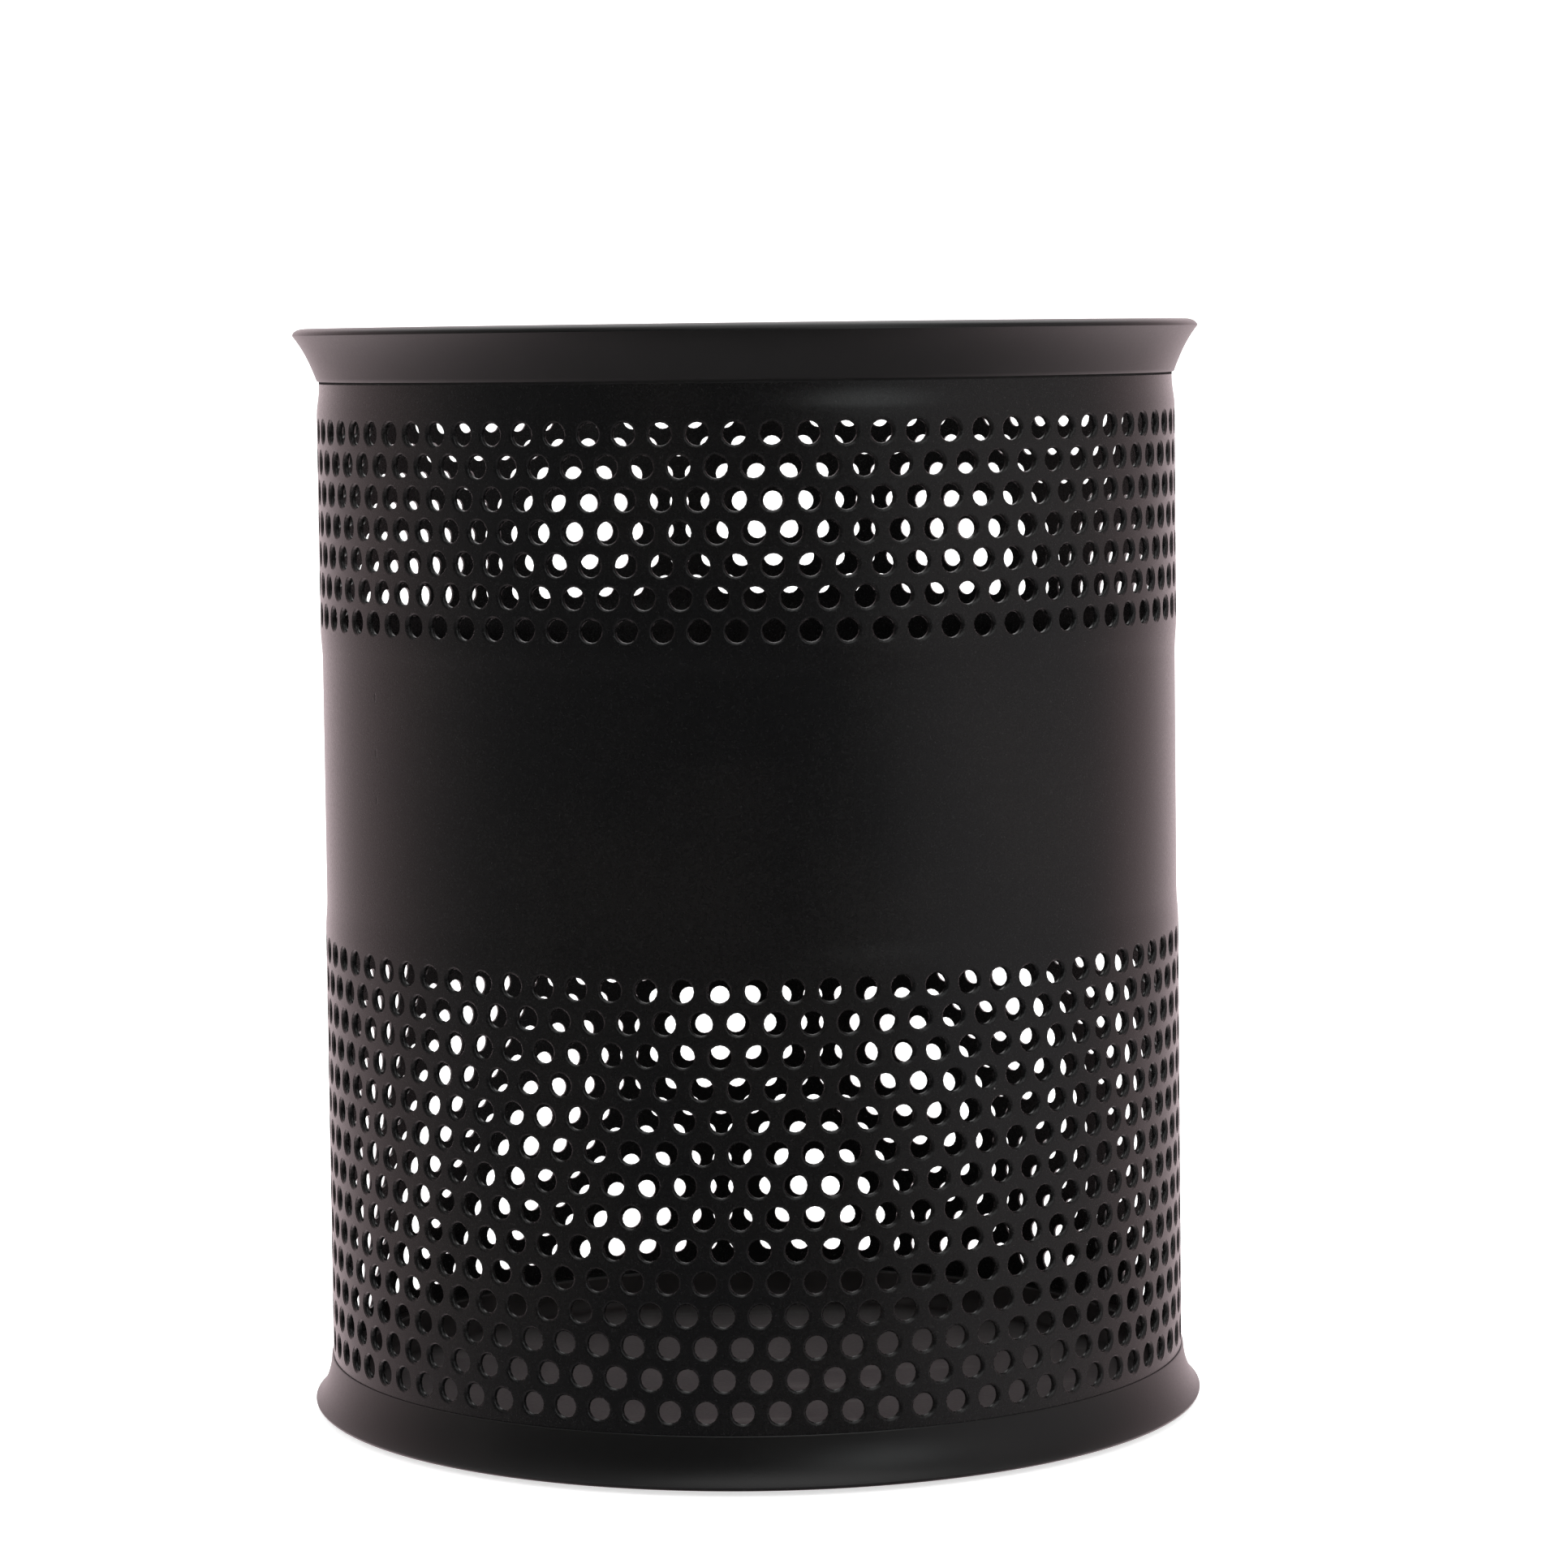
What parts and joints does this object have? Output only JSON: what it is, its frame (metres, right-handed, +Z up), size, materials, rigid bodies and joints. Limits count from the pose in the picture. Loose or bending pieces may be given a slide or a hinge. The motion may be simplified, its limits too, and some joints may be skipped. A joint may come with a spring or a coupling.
{
  "type": "pen holder",
  "caption": "Round desk pen cup of perforated sheet steel with a plain middle band, a flared top rim, a flared base ring and a pressed floor.",
  "frame": {"origin": "centre of the base ring's foot, on the table, on the cup's axis", "axes": "+Z up along the cup's axis, towards the mouth; the pictured side faces -Y"},
  "size_m": [0.0842, 0.0842, 0.101],
  "materials": {
    "shell": "black satin powder coat on perforated sheet steel, with a fine orange-peel texture and a few specks",
    "rings": "black moulded plastic, matte, with a fine grain",
    "floor": "dark grey powder coat on pressed sheet steel, duller than the shell"
  },
  "bodies": {
    "root": {"perforated_shell": "shell", "top_rim": "rings", "base_ring": "rings", "floor_pan": "floor"}
  },
  "joints": []
}
